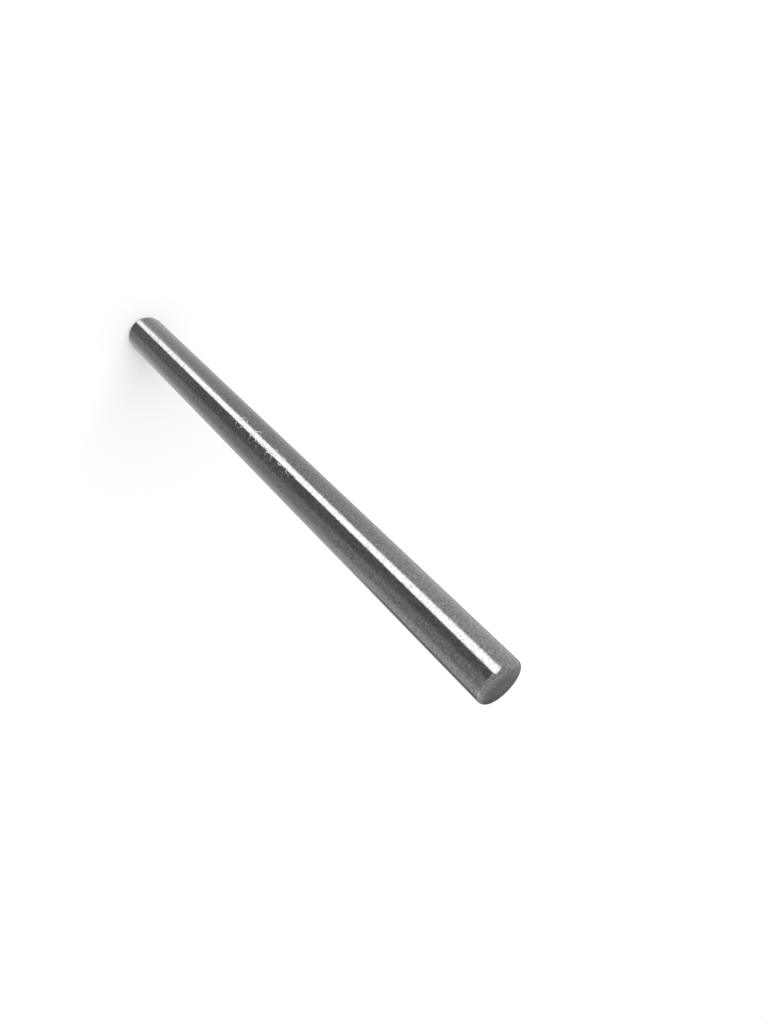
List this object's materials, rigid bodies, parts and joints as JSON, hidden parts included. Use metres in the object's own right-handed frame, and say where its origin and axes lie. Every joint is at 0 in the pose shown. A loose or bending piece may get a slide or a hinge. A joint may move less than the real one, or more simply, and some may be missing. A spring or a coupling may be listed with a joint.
{
  "type": "pin gauge",
  "caption": "Straight ground steel pin for checking hole sizes, with square end faces and softly rounded rims.",
  "frame": {"origin": "centre of the end face that the pin stands on", "axes": "+Z along the pin's axis, up to the other end face; the pin is round, so X and Y are free"},
  "size_m": [0.0036, 0.0036, 0.0508],
  "materials": {
    "ground_steel": "hardened tool steel, ground and lapped to a fine bright finish, with ground end faces"
  },
  "bodies": {
    "root": {"gauge_pin": "ground_steel"}
  },
  "joints": []
}
